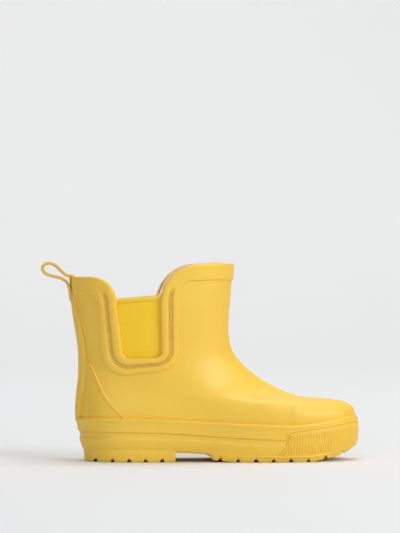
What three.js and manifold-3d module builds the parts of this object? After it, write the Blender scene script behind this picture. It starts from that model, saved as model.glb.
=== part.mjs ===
// A child's ankle-height rubber rain boot for the right foot, with an elastic gore in each side.
// Millimetres. +X points to the toe, +Z up, the outer (lateral) side of the foot is -Y.
// The origin is on the ground, under the middle of the boot and its pull loop.
//
// The boot is laid up in layers over one skin, the outside of the rubber upper. Each piece is a
// layer of the skin between two offsets, trimmed by an outline drawn in side view.

import * as THREE from "three";
import { mergeVertices } from "three/addons/utils/BufferGeometryUtils.js";
import Module from "manifold-3d";

const wasm = await Module();
wasm.setup();

// ---------------------------------------------------------------- driving dimensions

const GAP = 0.3; // clearance between pieces that touch

// Layers of the skin as [inner, outer] offsets. The outside of the shell is 0.
const SHELL = [-1.6, 0];
const UNDER_SHELL = [-2.8, -1.9]; // elastic gores, heel stiffener and toe puff
const LINING = [-4, -3.1];
const TOE_CAP = [-1.6, -0.5];
const COUNTER = [0.3, 0.9];
const BAND = [0.3, 1.3]; // raised band round the topline and the gores
const BAND_OVER_COUNTER = [1.2, 2];
const BINDING = [-1.6, -0.9];
const SIDEWALL_UPPER = [0.3, 3];
const SIDEWALL_LOWER = [0.3, 2.3];
const SIDEWALL_AT_TOE = 0.9; // outer offset of the lower sidewall behind the toe bumper
const BUMPER = [1.5, 2.5];
const RIB_HEIGHT = 0.6;

const TOE_CAP_X = 67; // seam between vamp and toe cap
const STAY_HALF_WIDTH = 10.5;
const CHANNEL_WIDTH = 2.4; // groove that the gore stitching lies in
const CHANNEL_DEPTH = 0.6;
const THREAD_WIDTH = 0.9;
const RIBS_TURN = 0.17; // the toe bumper's ends, as a share of a turn from the toe
const RIBS = 44;

const FOOTBED_THICK = 3.2;
const FOOTBED_ROOM = 1.2; // all round the loose footbed
const INSOLE_THICK = 1.8;
const TREAD_TAPER = 1.6; // how far the treads draw in towards the ground
const NOTCH_WIDTH = 3;
const NOTCH_HEIGHT = 1.9;
const NOTCH_LENGTH = 9; // from the tread's edge inwards
const NOTCH_PAST = 6; // how far the cut runs out past the edge
const HEEL_NOTCHES = [-74.2, -62.6, -51.1, -39.6, -28.2];
const FOREFOOT_NOTCHES = [11.8, 24.3, 36.6, 49.0, 61.3, 73.8, 86.4];
const TREAD_RISE = 0.04; // the girth line that gives the treads their outline
const TREAD_OUT = 2; // how far the treads stand out from that line
const TREAD_BLOCK_TOP = 14;
const FOREFOOT_FROM = -17.6;
const HEEL_BREAST = [[-18, 12], [-19.8, -5], [-95, -5], [-95, 12]];
const FILLER_OFFSET = -2.1;
const BUMPER_RECESS_X = 52.5; // the lower sidewall is thinner ahead of this, behind the bumper
const BUMPER_RECESS_OUT = 8;
const BUMPER_LOW = [0.014, 0.036]; // rise of the bumper's lower edge at its ends and at the toe
const BUMPER_HIGH = [0.107, 0.153];
const THREAD_PROUD = 0.35; // how far the stitching stands out of the band
const HEEL_X = -90; // middle of the boxes that cut out the back stay and the loop's ends
const HEEL_DEPTH = 30;
const STAY_Z = [28.7, 117.3];
const LOOP_OUTER_END = { offsets: [2.3, 3.5], z: [111, 125.2] };
const LOOP_INNER_END = { offsets: [-5.4, -4.3], z: [116, 128] };
const WEBBING_WIDTH = 15;

// Rises between which the layers of the skin are made: shares of the way from the ground up.
const RISE = { stay: 0.1, sole: 0.25, footbed: 0.35, gore: 0.4, sidewall: 0.4, toe: 0.6, loop: 0.7, heel: 0.85 };

// Where the cutters end, outside the boot, and where the sole's lines end.
const PAST = { heel: -130, toe: 130, below: -20, above: 160 };
const LINE = { heel: -95, toe: 116 };

// Girth lines of the last, from the ground up. Each one is a slanting loop round the boot:
// front x, front z, back x, back z, half width, share of the shaft's oval, sharpness of the toe.
const GIRTHS = [
  [105.5, 3, -79.3, 6, 32.2, 0, 0],
  [108.3, 13, -81.0, 14, 33.4, 0, 0],
  [108.9, 22, -82.6, 22, 34.5, 0, 0],
  [109.1, 30, -84.7, 30, 35.2, 0, 0.02],
  [108.4, 36, -85.2, 34.5, 35.0, 0.02, 0.08],
  [103.6, 41.5, -85.2, 38.5, 34.2, 0.06, 0.2],
  [94, 44.4, -85.1, 42, 33.0, 0.15, 0.36],
  [80, 45.5, -84.9, 46, 31.6, 0.28, 0.46],
  [65, 47.5, -84.7, 50, 30.2, 0.42, 0.5],
  [54, 51, -84.4, 54.5, 29.0, 0.56, 0.42],
  [42, 57.9, -84.1, 60.5, 28.2, 0.7, 0.3],
  [31, 66.8, -84.0, 68, 27.8, 0.84, 0.18],
  [23.2, 76.5, -84.1, 76.5, 28.0, 0.95, 0.08],
  [20.3, 88, -85.3, 86.5, 28.8, 1, 0.02],
  [20.4, 102, -87.4, 99, 30.3, 1, 0],
  [21.8, 119, -89.6, 114, 32.2, 1, 0],
  [23.2, 140, -91.3, 131.5, 34.4, 1, 0],
];

// The foot's outline in plan, at 16 even turns from the toe round the outer side to the heel and
// back along the inner side, as shares of the half width. The toe's tip leans to the inner side.
const FOOT_PLAN = [
  0.11, -0.46, -0.85, -0.985, -0.9, -0.795, -0.76, -0.48, 0, 0.49, 0.73, 0.675, 0.75, 0.962, 0.945, 0.63,
];
const SHAFT_SQUARENESS = 2.3; // exponent of the shaft's oval: 2 is an ellipse

// Lines that run the length of the sole, as points x, z.
const SIDEWALL_TOP = [[-95, 30.7], [-40, 30.6], [0, 28.7], [35, 27], [62, 25.9], [80, 27.4], [100, 30.4], [116, 35]];
const SIDEWALL_STEP = [[-95, 21.8], [-25, 20.4], [20, 17.6], [53, 16], [63, 21], [76, 22.8], [92, 24.8], [116, 29.5]];
const SIDEWALL_FOOT = [[-95, 8.7], [-30, 8.7], [-6, 7.6], [16, 5.4], [50, 3.7], [76, 3.9], [88, 5.1], [99, 7.6], [116, 13]];
const TREAD_FOOT = [[-22, 6], [5, 4.4], [6.5, 1.9], [16, 0.7], [28, 0], [70, 0], [80, 0.7], [92, 2.9], [104, 6.6], [116, 12]];
const FOOT_REST = [[-95, 18], [-35, 17.6], [0, 15], [40, 13], [80, 13.4], [116, 17]]; // top of the insole board

// Topline of the upper in side view, front to back, with a radius at each corner: x, z, r.
const TOPLINE = [[60, 138.8, 0], [-27.3, 138.8, 29], [-25.6, 73.2, 4.5], [-53.2, 72.6, 5.5], [-60.6, 130, 17], [-130, 130, 0]];
const LINING_TOP = [[60, 138, 0], [-27, 138, 26], [-24, 116.2, 0], [-62, 113, 0], [-62, 129, 14], [-130, 129, 0]];
// Lower edge of the raised band that follows the topline.
const BAND_EDGE = [[60, 127.2, 0], [-14.4, 127.2, 9], [-14.2, 64.6, 16], [-67.4, 58.6, 17], [-72.2, 117.7, 8], [-130, 117.7, 0]];
// Middle of the stitch channel, from its front end round the gore to its back end.
const STITCH_LINE = [[-20.9, 120.5, 0], [-20, 69.2, 10], [-59.8, 65.6, 11], [-65.6, 115.6, 8], [-68.6, 119, 0]];
// Elastic panel, with the margin that is sewn under the shell, and the tape along its top.
const GORE_PANEL = [[-20.4, 119.7, 0], [-19.6, 66.6, 7], [-60, 66, 7], [-66.5, 113.1, 0]];
const BINDING_LINE = [[-28, 114.6, 0], [-58.2, 112, 0]];
const BINDING_WIDTH = 4.4;
// Upper edge of the heel counter, from the back down to the sidewall.
const COUNTER_EDGE = [[-100, 73.4, 0], [-78.6, 72.2, 10], [-67.6, 46.6, 40], [-46, 28, 0], [-46, 0, 0], [-100, 0, 0]];

const STIFFENER_EDGE = [[-100, 70, 0], [-74, 70, 8], [-52, 24, 0], [-52, 16, 0], [-100, 16, 0]];
const PUFF_EDGE = [[130, 50, 0], [79, 50, 0], [73, 30, 0], [73, 16, 0], [130, 16, 0]];

// Pull loop in side view: outside of the webbing and the finger hole.
const LOOP_OUTSIDE = [
  [-96.8, 127.5], [-99.5, 128.1], [-104, 129.1], [-109.5, 131], [-112.16, 135.4], [-109.9, 139.3], [-106, 140.2],
  [-102, 139.2], [-98.9, 136.6], [-96.6, 133.2],
];
const LOOP_HOLE = [
  [-98.8, 131.2], [-102, 130.8], [-106.5, 132], [-109.2, 135.2], [-107, 137.8], [-103, 137], [-100.4, 134.6],
];

const AROUND = 32; // facets round a girth
const UPWARD = 16; // rows of facets from ground to topline

// ---------------------------------------------------------------- the skin

// Value of rows of numbers at t from 0 to 1, on a Catmull-Rom curve through the rows.
function along(rows, t) {
  const last = rows.length - 1;
  const place = THREE.MathUtils.clamp(t, 0, 1) * last;
  const i = Math.min(Math.floor(place), last - 1);
  const f = place - i;
  const [a, b, c, d] = [rows[Math.max(i - 1, 0)], rows[i], rows[i + 1], rows[Math.min(i + 2, last)]];
  return b.map((_, k) => {
    const linear = 2 * b[k] + (c[k] - a[k]) * f;
    const square = (2 * a[k] - 5 * b[k] + 4 * c[k] - d[k]) * f * f;
    const cube = (3 * b[k] - a[k] - 3 * c[k] + d[k]) * f * f * f;
    return 0.5 * (linear + square + cube);
  });
}

const footPlan = new THREE.CatmullRomCurve3(
  FOOT_PLAN.map((share, k) => new THREE.Vector3(Math.cos((k * Math.PI) / 8), share, 0)),
  true, "catmullrom", 0.5);

// Section of a girth as shares of its half length and half width, mixed from foot plan and oval.
// A sharp section narrows towards its front.
function section(turn, ovalShare, sharpness) {
  const foot = footPlan.getPoint(turn);
  const angle = turn * 2 * Math.PI;
  const power = 2 / SHAFT_SQUARENESS;
  const oval = new THREE.Vector3(
    Math.sign(Math.cos(angle)) * Math.abs(Math.cos(angle)) ** power,
    -Math.sign(Math.sin(angle)) * Math.abs(Math.sin(angle)) ** power, 0);
  const mixed = foot.lerp(oval, ovalShare);
  const ahead = THREE.MathUtils.clamp(mixed.x, 0, 1);
  return mixed.setY(mixed.y * Math.max(1 - ahead ** 2, 0.002) ** sharpness);
}

// Point of the skin: turn runs once round the boot from the toe, rise from the ground to the top.
function skin(turn, rise) {
  const [frontX, frontZ, backX, backZ, half, ovalShare, sharpness] = along(GIRTHS, rise);
  const { x: s, y: w } = section(turn - Math.floor(turn), ovalShare, sharpness);
  return new THREE.Vector3(
    (frontX + backX) / 2 + (s * (frontX - backX)) / 2, w * half,
    (frontZ + backZ) / 2 + (s * (frontZ - backZ)) / 2);
}

// Point at an offset along the skin's outward normal.
function offSkin(turn, rise, offset) {
  const step = 0.004;
  const around = skin(turn + step, rise).sub(skin(turn - step, rise));
  const upward = skin(turn, Math.min(rise + step, 1)).sub(skin(turn, Math.max(rise - step, 0)));
  return skin(turn, rise).addScaledVector(upward.cross(around).normalize(), offset);
}

// ---------------------------------------------------------------- solids

// Closed mesh from points and quads; the triangles that a pole has flattened are left out.
function closedMesh(points, quads) {
  const near = (p, q) => points[p].distanceTo(points[q]) < 1e-4;
  const faces = quads.flatMap(([a, b, c, d]) => [[a, b, c], [a, c, d]]);
  const whole = faces.filter(([a, b, c]) => !near(a, b) && !near(b, c) && !near(c, a));
  return new THREE.BufferGeometry().setFromPoints(points).setIndex(whole.flat());
}

// A sheet with thickness: at(i, j, side) gives its points, side 0 inside and side 1 outside. A ring
// joins its last column to its first.
function slab(columns, rows, ring, at) {
  const width = ring ? columns : columns + 1;
  const points = [];
  for (const side of [0, 1])
    for (let j = 0; j <= rows; j++)
      for (let i = 0; i < width; i++) points.push(at(i, j, side));
  const v = (i, j, side) => (side * (rows + 1) + j) * width + (i % width);
  const quads = [];
  for (let j = 0; j < rows; j++)
    for (let i = 0; i < columns; i++) {
      quads.push([v(i, j, 1), v(i, j + 1, 1), v(i + 1, j + 1, 1), v(i + 1, j, 1)]);
      quads.push([v(i, j, 0), v(i + 1, j, 0), v(i + 1, j + 1, 0), v(i, j + 1, 0)]);
    }
  for (let i = 0; i < columns; i++) {
    quads.push([v(i, 0, 0), v(i, 0, 1), v(i + 1, 0, 1), v(i + 1, 0, 0)]);
    quads.push([v(i, rows, 0), v(i + 1, rows, 0), v(i + 1, rows, 1), v(i, rows, 1)]);
  }
  for (let j = 0; !ring && j < rows; j++) {
    quads.push([v(0, j, 0), v(0, j + 1, 0), v(0, j + 1, 1), v(0, j, 1)]);
    quads.push([v(columns, j, 0), v(columns, j, 1), v(columns, j + 1, 1), v(columns, j + 1, 0)]);
  }
  return closedMesh(points, quads);
}

function solidOf(geometry) {
  const bare = new THREE.BufferGeometry().setAttribute("position", geometry.getAttribute("position"));
  const merged = mergeVertices(geometry.index ? bare.setIndex(geometry.index) : bare, 1e-4);
  const vertProperties = new Float32Array(merged.attributes.position.array);
  const triVerts = new Uint32Array(merged.index.array);
  return new wasm.Manifold(new wasm.Mesh({ numProp: 3, vertProperties, triVerts }));
}

function geometryOf(solid) {
  const { vertProperties, triVerts } = solid.getMesh();
  const geometry = new THREE.BufferGeometry();
  geometry.setAttribute("position", new THREE.BufferAttribute(new Float32Array(vertProperties), 3));
  return geometry.setIndex(new THREE.BufferAttribute(new Uint32Array(triVerts), 1));
}

// A layer of the skin all round the boot, between two offsets and two rises.
function layer([inner, outer], from = 0, to = 1) {
  const first = Math.floor(from * UPWARD);
  const rows = Math.ceil(to * UPWARD) - first;
  const at = (i, j, side) => offSkin(i / AROUND, (first + j) / UPWARD, side ? outer : inner);
  return solidOf(slab(AROUND, rows, true, at));
}

// The whole room inside the skin at an offset, from the ground up to a rise.
function filled(offset, to) {
  const rows = Math.ceil(to * UPWARD);
  const points = [];
  const quads = [];
  const v = (i, j) => j * AROUND + (i % AROUND);
  for (let j = 0; j <= rows; j++)
    for (let i = 0; i < AROUND; i++) points.push(offSkin(i / AROUND, j / UPWARD, offset));
  for (let j = 0; j < rows; j++)
    for (let i = 0; i < AROUND; i++) quads.push([v(i, j), v(i, j + 1), v(i + 1, j + 1), v(i + 1, j)]);
  for (let i = 0; i < AROUND / 2; i++) {
    quads.push([v(i, 0), v(i + 1, 0), v(AROUND - i - 1, 0), v(AROUND - i, 0)]);
    quads.push([v(i, rows), v(AROUND - i, rows), v(AROUND - i - 1, rows), v(i + 1, rows)]);
  }
  return solidOf(closedMesh(points, quads));
}

// ---------------------------------------------------------------- outlines in side view

const point = ([x, z]) => new THREE.Vector2(x, z);

// Points of a line whose corners are rounded, from points x, z, r.
function rounded(corners, steps = 4) {
  return corners.flatMap(([x, z, radius], i) => {
    const corner = new THREE.Vector2(x, z);
    if (!radius) return [corner];
    const back = point(corners[i - 1]).sub(corner).normalize();
    const ahead = point(corners[i + 1]).sub(corner).normalize();
    const half = Math.acos(back.dot(ahead)) / 2;
    const start = corner.clone().addScaledVector(back, radius / Math.tan(half));
    const end = corner.clone().addScaledVector(ahead, radius / Math.tan(half));
    const middle = back.clone().add(ahead).normalize().multiplyScalar(radius / Math.sin(half)).add(corner);
    const from = start.clone().sub(middle).angle();
    const sweep = THREE.MathUtils.euclideanModulo(end.clone().sub(middle).angle() - from + Math.PI, 2 * Math.PI) - Math.PI;
    return Array.from({ length: steps + 1 }, (_, k) => {
      const angle = from + (sweep * k) / steps;
      return new THREE.Vector2(middle.x + radius * Math.cos(angle), middle.y + radius * Math.sin(angle));
    });
  });
}

const smooth = (points, steps = 16) => new THREE.SplineCurve(points.map(point)).getPoints(steps);
const raised = (line, dz) => line.map((p) => new THREE.Vector2(p.x, p.y + dz));
const between = (upper, lower) => [...upper, ...[...lower].reverse()];

const SIDES = { lateral: [-60, 0], medial: [0, 60], both: [-60, 60] };

// A cutter: an outline in side view, carried across the boot.
function cutter(outline, side = "both") {
  const [y0, y1] = SIDES[side];
  const across = new THREE.ExtrudeGeometry(new THREE.Shape(outline), { depth: y1 - y0, bevelEnabled: false });
  return solidOf(across.rotateX(Math.PI / 2).translate(0, y1, 0));
}

// A ribbon of even width along a line in side view.
function ribbon(line, width) {
  const edge = (side) => line.map((p, k) => {
    const away = line[Math.min(k + 1, line.length - 1)].clone().sub(line[Math.max(k - 1, 0)]).normalize();
    return new THREE.Vector2(p.x - (away.y * width * side) / 2, p.y + (away.x * width * side) / 2);
  });
  return between(edge(1), edge(-1));
}

const rectangle = (x0, z0, x1, z1) => [[x0, z0], [x1, z0], [x1, z1], [x0, z1]].map(point);
const heelBox = (width, [low, high]) =>
  solidOf(new THREE.BoxGeometry(HEEL_DEPTH, width, high - low).translate(HEEL_X, 0, (low + high) / 2));

const sidewallTop = smooth(SIDEWALL_TOP);
const sidewallStep = smooth(SIDEWALL_STEP);
const sidewallFoot = smooth(SIDEWALL_FOOT);
const footRest = smooth(FOOT_REST);

// Everything below a rounded line along the top of the upper.
const belowTop = (corners) => cutter([
  ...rounded(corners), point([PAST.heel, PAST.below]), point([PAST.toe, PAST.below]), point([PAST.toe, corners[0][1]]),
]);
const belowSidewall = () =>
  cutter([...raised(sidewallFoot, -GAP), point([LINE.toe, PAST.below]), point([LINE.heel, PAST.below])]);
const aboveLine = (line) => cutter([...line, point([LINE.toe, PAST.above]), point([LINE.heel, PAST.above])]);
const aheadOf = (x) => cutter(rectangle(x, PAST.below, PAST.toe, PAST.above));

// ---------------------------------------------------------------- upper

// Vamp and quarters in one moulded piece, open at both gores and along the topline.
function upperShell() {
  return layer(SHELL).intersect(belowTop(TOPLINE)).intersect(aboveLine(sidewallFoot)).subtract(aheadOf(TOE_CAP_X));
}

// Front of the foot, a separate skin set slightly below the edge of the vamp.
function toeCap() {
  return layer(TOE_CAP, 0, RISE.toe).intersect(aheadOf(TOE_CAP_X + GAP)).intersect(aboveLine(sidewallFoot));
}

function jerseyLining() {
  return layer(LINING).intersect(belowTop(LINING_TOP)).intersect(aboveLine(raised(footRest, -INSOLE_THICK)));
}

// Raised band along the topline and round both gores, with the groove for the stitching.
function toplineBand() {
  const area = cutter(between(rounded(TOPLINE), rounded(BAND_EDGE)));
  const groove = layer([BAND[1] - CHANNEL_DEPTH, BAND[1] + 1], RISE.gore)
    .intersect(cutter(ribbon(rounded(STITCH_LINE), CHANNEL_WIDTH)));
  return layer(BAND, RISE.gore).intersect(area).subtract(groove);
}

function goreStitching(side) {
  const depth = [BAND[1] - CHANNEL_DEPTH + GAP, BAND[1] + THREAD_PROUD];
  return layer(depth, RISE.gore).intersect(cutter(ribbon(rounded(STITCH_LINE), THREAD_WIDTH), side));
}

function elasticGore(side) {
  return layer(UNDER_SHELL, RISE.gore).intersect(cutter(rounded(GORE_PANEL), side));
}

function goreBinding(side) {
  return layer(BINDING, RISE.gore).intersect(cutter(ribbon(BINDING_LINE.map(point), BINDING_WIDTH), side));
}

// Patch round the heel, under the back stay and above the sidewall.
function heelCounter() {
  const above = aboveLine(raised(sidewallTop, GAP));
  return layer(COUNTER, 0, RISE.heel).intersect(cutter(rounded(COUNTER_EDGE))).intersect(above);
}

// Strip up the back seam, from the sidewall to the band.
function backStay() {
  const strip = heelBox(2 * STAY_HALF_WIDTH, STAY_Z);
  const above = aboveLine(raised(sidewallTop, GAP));
  return layer(BAND_OVER_COUNTER, RISE.stay).intersect(strip).intersect(above);
}

function heelStiffener() {
  return layer(UNDER_SHELL, 0, RISE.heel).intersect(cutter(rounded(STIFFENER_EDGE)));
}

function toePuff() {
  return layer(UNDER_SHELL, 0, RISE.toe).intersect(cutter(rounded(PUFF_EDGE)));
}

// ---------------------------------------------------------------- sole

function upperSidewall() {
  return layer(SIDEWALL_UPPER, 0, RISE.sidewall).intersect(cutter(between(sidewallTop, sidewallStep)));
}

function lowerSidewall() {
  const recess = layer([SIDEWALL_AT_TOE, BUMPER_RECESS_OUT], 0, RISE.sole).intersect(aheadOf(BUMPER_RECESS_X));
  return layer(SIDEWALL_LOWER, 0, RISE.sole).subtract(recess)
    .intersect(cutter(between(raised(sidewallStep, -GAP), sidewallFoot)));
}

// Ribbed strip round the toe, let into the lower sidewall.
function toeBumper() {
  const columns = 2 * RIBS;
  return solidOf(slab(columns, 2, false, (i, j, side) => {
    const turn = ((2 * i) / columns - 1) * RIBS_TURN;
    const nose = 1 - (turn / RIBS_TURN) ** 2;
    const low = THREE.MathUtils.lerp(...BUMPER_LOW, nose);
    const high = THREE.MathUtils.lerp(...BUMPER_HIGH, nose);
    const rib = i % 2 ? RIB_HEIGHT : 0;
    return offSkin(turn, low + ((high - low) * j) / 2, side ? BUMPER[1] + rib : BUMPER[0]);
  })).intersect(cutter(between(raised(sidewallStep, -GAP), sidewallFoot)));
}

// Inner parts of the sole fill the room inside the shell between two lines.
function soleFiller() {
  const top = raised(footRest, -INSOLE_THICK - GAP);
  return filled(FILLER_OFFSET, RISE.sole).intersect(cutter(between(top, sidewallFoot)));
}

function insoleBoard() {
  const area = cutter(between(footRest, raised(footRest, -INSOLE_THICK)));
  return filled(LINING[0] - GAP, RISE.sole).intersect(area);
}

function footbed() {
  const area = cutter(between(raised(footRest, FOOTBED_THICK + GAP), raised(footRest, GAP)));
  return filled(LINING[0] - FOOTBED_ROOM, RISE.footbed).intersect(area);
}

// Block under the sidewall with the outline of the foot, drawn in towards the ground.
function treadBlock(x0, x1) {
  const half = AROUND / 2;
  const block = slab(half, 2, false, (i, j, side) => {
    const out = TREAD_OUT - (side ? 0 : TREAD_TAPER);
    const edge = offSkin(i / AROUND, TREAD_RISE, out);
    return edge.lerp(offSkin(1 - i / AROUND, TREAD_RISE, out), j / 2).setZ(side ? TREAD_BLOCK_TOP : 0);
  });
  return solidOf(block).intersect(cutter(rectangle(x0, PAST.below, x1, PAST.above)));
}

// Notches cut into both edges of a tread, each one narrower at its top: the wedge's corners are
// shares of the notch's width and height, and it starts below the tread.
function notches(places, bottomAt) {
  return places.flatMap((x) => [-1, 1].map((side) => {
    const z = bottomAt(x);
    const wedge = [[-0.5, -2], [0.5, -2], [0.5, 0], [0.36, 1], [-0.36, 1], [-0.5, 0]]
      .map(([a, b]) => new THREE.Vector2(x + a * NOTCH_WIDTH, z + b * NOTCH_HEIGHT));
    const edge = edgeAt(x, side);
    const inner = edge - side * NOTCH_LENGTH;
    const outer = edge + side * NOTCH_PAST;
    const [y0, y1] = [Math.min(inner, outer), Math.max(inner, outer)];
    const across = new THREE.ExtrudeGeometry(new THREE.Shape(wedge), { depth: y1 - y0, bevelEnabled: false });
    return solidOf(across.rotateX(Math.PI / 2).translate(0, y1, 0));
  }));
}

// Where the foot's outline crosses a given x, on the outer (-1) or inner (1) side.
function edgeAt(x, side) {
  let [front, back] = side < 0 ? [0, 0.5] : [1, 0.5];
  for (let k = 0; k < 24; k++) {
    const middle = (front + back) / 2;
    if (skin(middle, TREAD_RISE).x > x) front = middle;
    else back = middle;
  }
  return skin(front, TREAD_RISE).y;
}

function treadFootAt(x) {
  const line = smooth(TREAD_FOOT, 60);
  const k = Math.max(line.findIndex((p) => p.x >= x), 1);
  return THREE.MathUtils.mapLinear(x, line[k - 1].x, line[k].x, line[k - 1].y, line[k].y);
}

function heelTread() {
  const behind = cutter(HEEL_BREAST.map(point));
  let tread = treadBlock(PAST.heel, 0).intersect(behind).intersect(belowSidewall());
  for (const notch of notches(HEEL_NOTCHES, () => 0)) tread = tread.subtract(notch);
  return tread;
}

function forefootTread() {
  const aboveFoot = aboveLine(smooth(TREAD_FOOT, 24));
  let tread = treadBlock(FOREFOOT_FROM, PAST.toe).intersect(belowSidewall()).intersect(aboveFoot);
  for (const notch of notches(FOREFOOT_NOTCHES, treadFootAt)) tread = tread.subtract(notch);
  return tread;
}

// ---------------------------------------------------------------- pull loop

// Free part of the webbing, a flat ring that stands behind the topline.
function pullLoop() {
  const closed = (points) => new THREE.CatmullRomCurve3(
    points.map(([x, z]) => new THREE.Vector3(x, z, 0)), true, "catmullrom", 0.5)
    .getPoints(24).slice(1).map((p) => new THREE.Vector2(p.x, p.y));
  const shape = new THREE.Shape(closed(LOOP_OUTSIDE).reverse());
  shape.holes.push(new THREE.Path(closed(LOOP_HOLE)));
  const ring = new THREE.ExtrudeGeometry(shape, { depth: WEBBING_WIDTH, bevelEnabled: false });
  return solidOf(ring.rotateX(Math.PI / 2).translate(0, WEBBING_WIDTH / 2, 0));
}

// Sewn ends of the same webbing, one on the outside and one inside the topline.
function loopEnd({ offsets, z }) {
  return layer(offsets, RISE.loop).intersect(heelBox(WEBBING_WIDTH, z));
}

// ---------------------------------------------------------------- assembly

const RUBBER = { color: 0xebb94b, roughness: 0.5, metalness: 0 };
const SOLE_RUBBER = { color: 0xe0b144, roughness: 0.55, metalness: 0 };
const ELASTIC = { color: 0xe8c437, roughness: 0.85, metalness: 0 };
const WEBBING = { color: 0xebc77f, roughness: 0.9, metalness: 0 };
const JERSEY = { color: 0xe2ba90, roughness: 0.95, metalness: 0 };
const THREAD = { color: 0xd8ab3f, roughness: 0.8, metalness: 0 };
const BOARD = { color: 0xb79c7c, roughness: 0.9, metalness: 0 };

const PIECES = [
  ["upper_shell", RUBBER, upperShell()],
  ["toe_cap", RUBBER, toeCap()],
  ["jersey_lining", JERSEY, jerseyLining()],
  ["topline_band", RUBBER, toplineBand()],
  ["elastic_gore_lateral", ELASTIC, elasticGore("lateral")],
  ["elastic_gore_medial", ELASTIC, elasticGore("medial")],
  ["gore_binding_lateral", ELASTIC, goreBinding("lateral")],
  ["gore_binding_medial", ELASTIC, goreBinding("medial")],
  ["gore_stitching_lateral", THREAD, goreStitching("lateral")],
  ["gore_stitching_medial", THREAD, goreStitching("medial")],
  ["heel_counter", RUBBER, heelCounter()],
  ["back_stay", RUBBER, backStay()],
  ["heel_stiffener", BOARD, heelStiffener()],
  ["toe_puff", BOARD, toePuff()],
  ["upper_sidewall", SOLE_RUBBER, upperSidewall()],
  ["lower_sidewall", SOLE_RUBBER, lowerSidewall()],
  ["toe_bumper", SOLE_RUBBER, toeBumper()],
  ["heel_tread", SOLE_RUBBER, heelTread()],
  ["forefoot_tread", SOLE_RUBBER, forefootTread()],
  ["sole_filler", BOARD, soleFiller()],
  ["insole_board", BOARD, insoleBoard()],
  ["footbed", JERSEY, footbed()],
  ["pull_loop", WEBBING, pullLoop()],
  ["pull_loop_outer_end", WEBBING, loopEnd(LOOP_OUTER_END)],
  ["pull_loop_inner_end", WEBBING, loopEnd(LOOP_INNER_END)],
];

const boot = new THREE.Group();
boot.name = "rain_boot";
for (const [name, look, solid] of PIECES) {
  const mesh = new THREE.Mesh(geometryOf(solid), new THREE.MeshStandardMaterial(look));
  mesh.name = name;
  boot.add(mesh);
}
export default boot;
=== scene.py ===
"""A child's rubber rain boot for the right foot, standing on a pale floor.

Sizes are in millimetres until a mesh is made, which is in metres. +X points to the toe, +Z up,
and the outer (lateral) side of the foot is -Y.
"""

import bpy
import numpy as np
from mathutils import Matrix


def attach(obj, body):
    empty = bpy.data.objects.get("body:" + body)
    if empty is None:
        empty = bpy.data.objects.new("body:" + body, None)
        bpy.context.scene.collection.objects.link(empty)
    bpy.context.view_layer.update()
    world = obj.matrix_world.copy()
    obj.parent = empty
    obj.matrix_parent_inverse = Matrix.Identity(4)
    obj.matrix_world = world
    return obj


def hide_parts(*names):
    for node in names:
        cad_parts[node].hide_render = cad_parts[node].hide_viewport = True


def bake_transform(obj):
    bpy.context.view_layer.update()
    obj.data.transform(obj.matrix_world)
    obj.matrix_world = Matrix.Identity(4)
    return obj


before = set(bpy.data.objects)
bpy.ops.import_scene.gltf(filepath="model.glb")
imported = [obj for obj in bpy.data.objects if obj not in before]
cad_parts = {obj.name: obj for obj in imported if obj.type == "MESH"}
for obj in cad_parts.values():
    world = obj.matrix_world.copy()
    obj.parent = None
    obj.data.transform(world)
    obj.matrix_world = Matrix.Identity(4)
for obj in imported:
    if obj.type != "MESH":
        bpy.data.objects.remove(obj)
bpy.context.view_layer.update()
MM = 0.001


# ---------------------------------------------------------------- camera, floor and light
# A long lens at the height of the topline, level, from the outer side and a little behind the
# middle, so that the lining of the far wall shows at the edge of the front panel.

VIEW_TURN = np.radians(-4.0)
VIEW_DISTANCE = 2.17
VIEW_HEIGHT = 0.1365

lens = bpy.data.cameras.new("camera")
lens.lens = 207.6
lens.sensor_width = 36.0
camera = bpy.data.objects.new("camera", lens)
camera.location = (VIEW_DISTANCE * np.sin(VIEW_TURN), -VIEW_DISTANCE * np.cos(VIEW_TURN), VIEW_HEIGHT)
camera.rotation_euler = (np.pi / 2, 0, VIEW_TURN)
bpy.context.scene.collection.objects.link(camera)
bpy.context.scene.camera = camera
bpy.context.scene.view_settings.view_transform = "Standard"


def new_material(name):
    """A material, a function that sets its shader's inputs and one that adds a node and gives its
    output. An input is linked if it's given another node's output, and set if it's given a value."""
    material = bpy.data.materials.new(name)
    material.use_nodes = True
    tree = material.node_tree

    def fill(node, inputs):
        for key, value in inputs.items():
            if isinstance(value, bpy.types.NodeSocket):
                tree.links.new(value, node.inputs[key])
            else:
                node.inputs[key].default_value = value
        return node

    def add(kind, output, inputs, **settings):
        node = tree.nodes.new("ShaderNode" + kind)
        for key, value in settings.items():
            setattr(node, key, value)
        return fill(node, inputs).outputs[output]

    return material, lambda inputs: fill(tree.nodes["Principled BSDF"], inputs), add


def paper():
    """Matt paper: one pale grey, lighter towards the wall, with a faint cloudiness."""
    material, shade, add = new_material("pale_paper")
    place = add("TexCoord", "Object", {})
    noise = add("TexNoise", "Fac", {"Scale": 3.0, "Vector": place})
    depth = add("SeparateXYZ", "Y", {"Vector": place})
    far = add("MapRange", "Result", {"Value": depth, "From Min": 0.3, "From Max": 3.2})
    cloudy = add("Math", "Value", {0: noise, 1: 0.06, 2: far}, operation="MULTIPLY_ADD")
    near_tone, far_tone = (0.75, 0.752, 0.755, 1), (0.93, 0.93, 0.93, 1)
    tone = add("Mix", "Result", {"A": near_tone, "B": far_tone, "Factor": cloudy}, data_type="RGBA")
    shade({"Roughness": 0.9, "Base Color": tone})
    return material


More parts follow.
